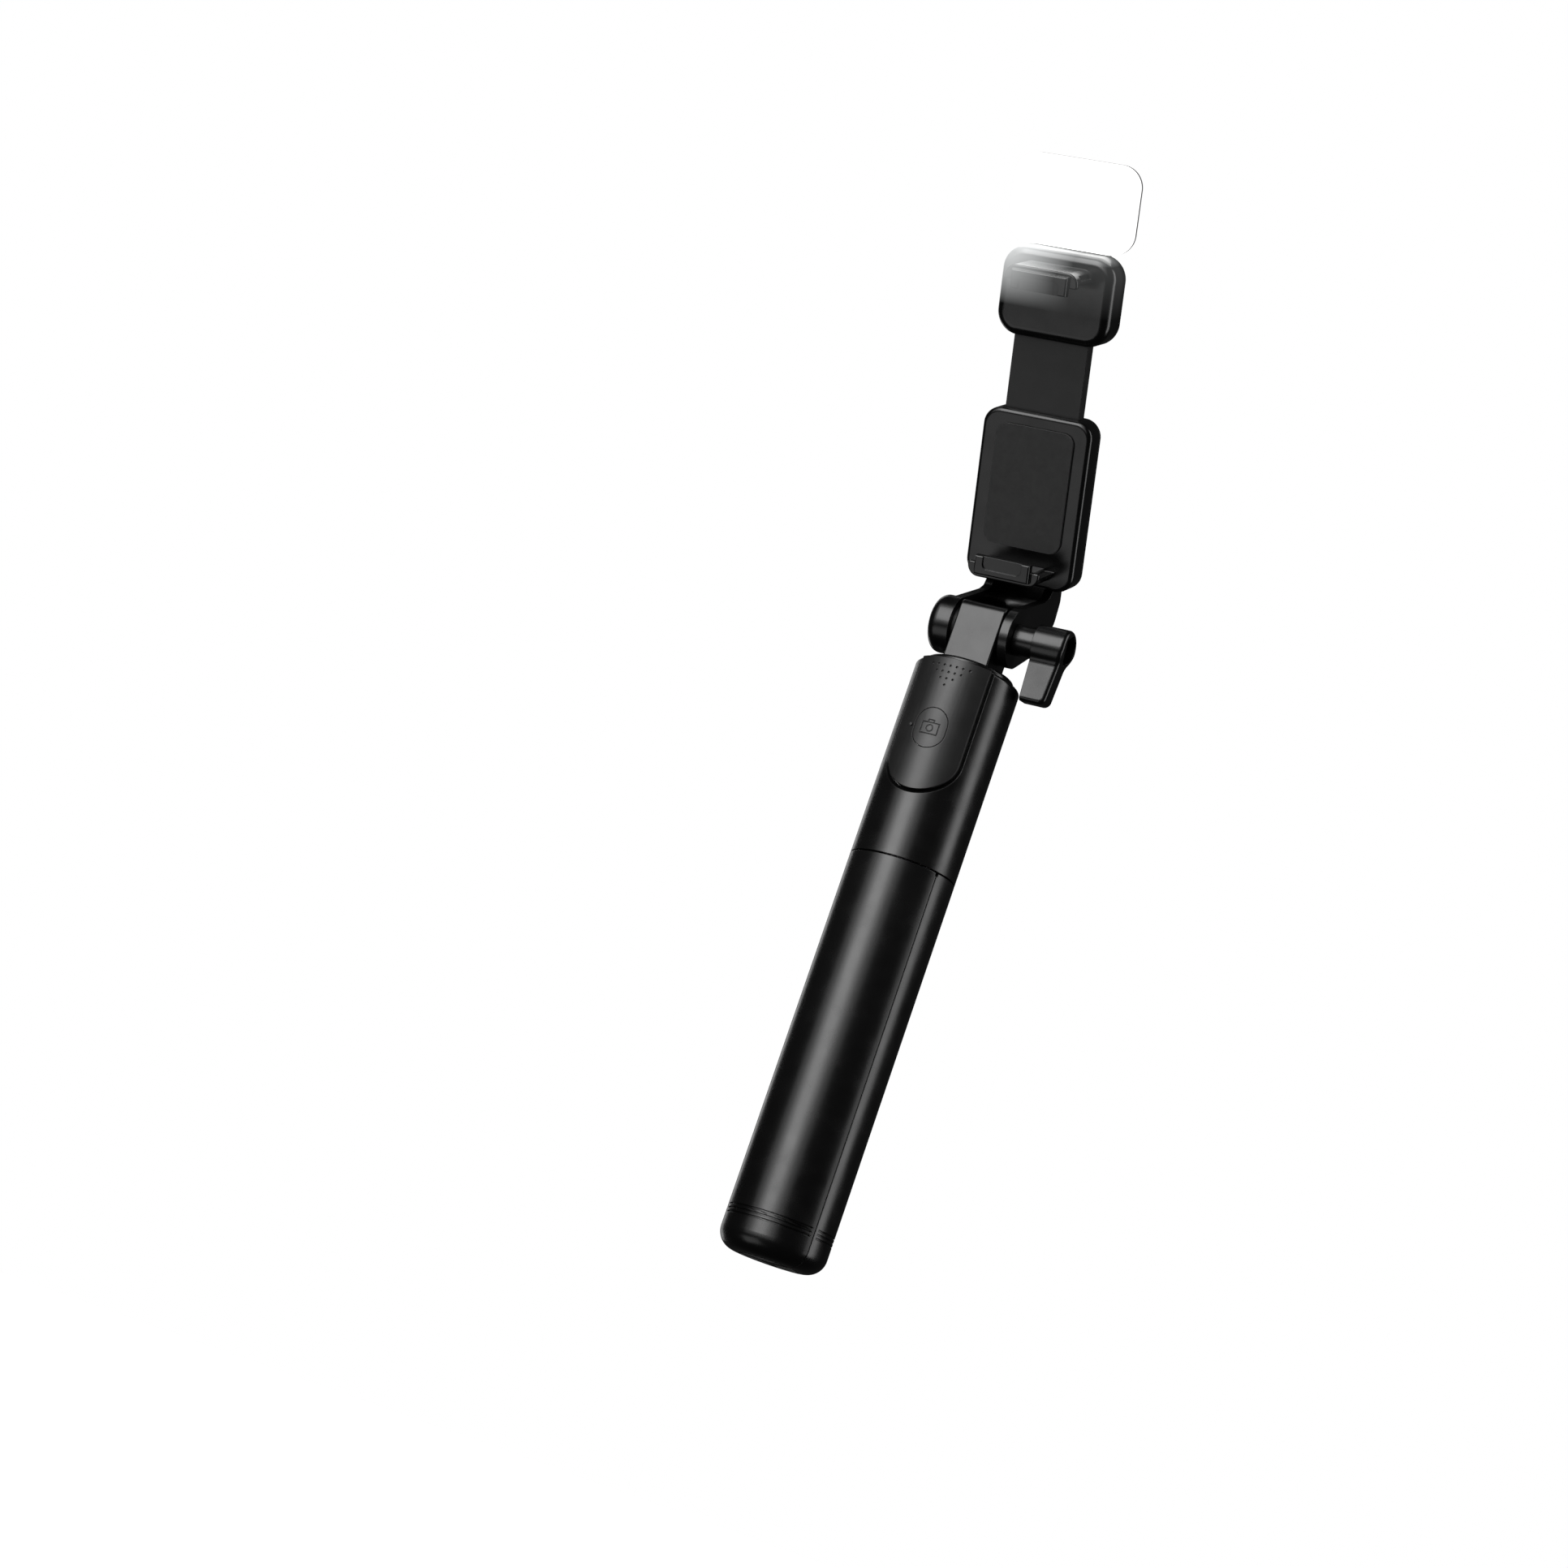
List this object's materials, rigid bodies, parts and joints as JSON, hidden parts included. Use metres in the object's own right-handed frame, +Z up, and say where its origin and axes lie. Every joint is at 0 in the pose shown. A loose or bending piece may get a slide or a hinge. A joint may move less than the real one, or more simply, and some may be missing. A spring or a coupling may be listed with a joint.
{
  "type": "selfie stick",
  "caption": "Handheld telescopic selfie stick with fold-out tripod legs, a detachable shutter remote, a tilting phone clamp and a fold-down fill light.",
  "frame": {"origin": "centre of the closed legs' foot plane, on the pole axis", "axes": "+Z up the pole, +X along the tilt axis towards the wing knob, -Y towards the remote and the phone's screen"},
  "size_m": [0.0398, 0.0632, 0.2797],
  "materials": {
    "housing_abs": "satin",
    "leg_abs": "satin",
    "head_abs": "satin",
    "holder_abs": "satin",
    "knob_abs": "satin",
    "slider_abs": "fine matt",
    "remote_abs": "fine matt",
    "button_abs": "fine matt",
    "light_shell_abs": "satin",
    "rubber": "matt",
    "tube_steel": "drawn, bright",
    "glide_pom": "smooth",
    "washer_nylon": "matt",
    "hub_metal": "die-cast",
    "steel": "plated",
    "black_steel": "black oxide",
    "board_white": "solder mask",
    "board_green": "solder mask",
    "led_chip": "moulded lens",
    "cell_foil": "foil",
    "cell_steel": "bright",
    "port_metal": "plated",
    "indicator_lens": "dark lens",
    "diffuser_opal": "opal, lit"
  },
  "bodies": {
    "grip": {"upper_housing": "housing_abs", "leg_hub": "hub_metal", "leg_pins": "steel", "pole_outer_tube": "tube_steel", "pole_end_plug": "glide_pom"},
    "leg_front": {"leg_front_shell": "leg_abs", "leg_front_foot_pad": "rubber"},
    "leg_rear_right": {"leg_rear_right_shell": "leg_abs", "leg_rear_right_foot_pad": "rubber"},
    "leg_rear_left": {"leg_rear_left_shell": "leg_abs", "leg_rear_left_foot_pad": "rubber"},
    "pole_section_1": {"pole_section_1": "tube_steel", "pole_glide_1": "glide_pom"},
    "pole_section_2": {"pole_section_2": "tube_steel", "pole_glide_2": "glide_pom"},
    "pole_section_3": {"pole_section_3": "tube_steel", "pole_glide_3": "glide_pom"},
    "pole_section_4": {"pole_section_4": "tube_steel", "pole_glide_4": "glide_pom"},
    "pole_section_5": {"pole_section_5": "tube_steel", "pole_glide_5": "glide_pom"},
    "head": {"head_tongue": "head_abs", "tilt_washers": "washer_nylon"},
    "holder": {"holder_body": "holder_abs", "tilt_nut": "steel", "lower_jaw_pad": "rubber", "spine_pad": "rubber", "spine_cover": "holder_abs", "spine_screws": "steel"},
    "knob": {"tilt_knob": "knob_abs", "tilt_bolt": "black_steel"},
    "jaw": {"upper_jaw": "holder_abs", "upper_jaw_pad": "rubber", "slider_plate": "slider_abs"},
    "light": {"light_back_shell": "light_shell_abs", "light_diffuser": "diffuser_opal", "light_board": "board_white", "light_leds": "led_chip", "light_cell": "cell_foil", "light_port": "port_metal", "light_hinge_pin": "steel"},
    "light_switch_button": {"light_button": "button_abs"},
    "remote": {"remote_front_shell": "remote_abs", "remote_back_cover": "remote_abs", "remote_board": "board_green", "remote_switch": "port_metal", "remote_coin_cell": "cell_steel", "remote_indicator": "indicator_lens"},
    "shutter": {"remote_button": "button_abs"}
  },
  "joints": [
    {"name": "leg_front_fold", "type": "hinge", "parent": "grip", "child": "leg_front", "pos_m": [0, -0.012, 0.0994], "axis": [-1, 0, 0], "range_deg": [0, 62]},
    {"name": "leg_rear_right_fold", "type": "hinge", "parent": "grip", "child": "leg_rear_right", "pos_m": [0.01039, 0.006, 0.0994], "axis": [0.5, -0.866, 0], "range_deg": [0, 62]},
    {"name": "leg_rear_left_fold", "type": "hinge", "parent": "grip", "child": "leg_rear_left", "pos_m": [-0.01039, 0.006, 0.0994], "axis": [0.5, 0.866, 0], "range_deg": [0, 62]},
    {"name": "pole_slide_1", "type": "slide", "parent": "grip", "child": "pole_section_1", "axis": [0, 0, 1], "range_m": [0, 0.117]},
    {"name": "pole_slide_2", "type": "slide", "parent": "pole_section_1", "child": "pole_section_2", "axis": [0, 0, 1], "range_m": [0, 0.117]},
    {"name": "pole_slide_3", "type": "slide", "parent": "pole_section_2", "child": "pole_section_3", "axis": [0, 0, 1], "range_m": [0, 0.117]},
    {"name": "pole_slide_4", "type": "slide", "parent": "pole_section_3", "child": "pole_section_4", "axis": [0, 0, 1], "range_m": [0, 0.117]},
    {"name": "pole_slide_5", "type": "slide", "parent": "pole_section_4", "child": "pole_section_5", "axis": [0, 0, 1], "range_m": [0, 0.117]},
    {"name": "head_swivel", "type": "hinge", "parent": "pole_section_5", "child": "head", "pos_m": [0, 0, 0.1543], "axis": [0, 0, 1], "continuous": true},
    {"name": "holder_tilt", "type": "hinge", "parent": "head", "child": "holder", "pos_m": [0, 0, 0.16635], "axis": [1, 0, 0], "range_deg": [-44, 85]},
    {"name": "knob_turn", "type": "hinge", "parent": "holder", "child": "knob", "pos_m": [0.019, 0, 0.16635], "axis": [1, 0, 0], "continuous": true},
    {"name": "jaw_slide", "type": "slide", "parent": "holder", "child": "jaw", "axis": [0, -0.5264, 0.8503], "range_m": [-0.018, 0.014]},
    {"name": "light_fold", "type": "hinge", "parent": "jaw", "child": "light", "pos_m": [0, -0.02526, 0.25997], "axis": [-1, 0, 0], "range_deg": [0, 180]},
    {"name": "light_button_press", "type": "slide", "parent": "light", "child": "light_switch_button", "axis": [0, -0.8503, -0.5264], "range_m": [0, 0.0003], "stiffness_N_per_m": 1500, "springref_m": -0.0002},
    {"name": "remote_release", "type": "slide", "parent": "grip", "child": "remote", "axis": [0, -1, 0], "range_m": [0, 0.04]},
    {"name": "shutter_press", "type": "slide", "parent": "remote", "child": "shutter", "axis": [0, 1, 0], "range_m": [0, 0.0003], "stiffness_N_per_m": 1500, "springref_m": -0.0002}
  ]
}
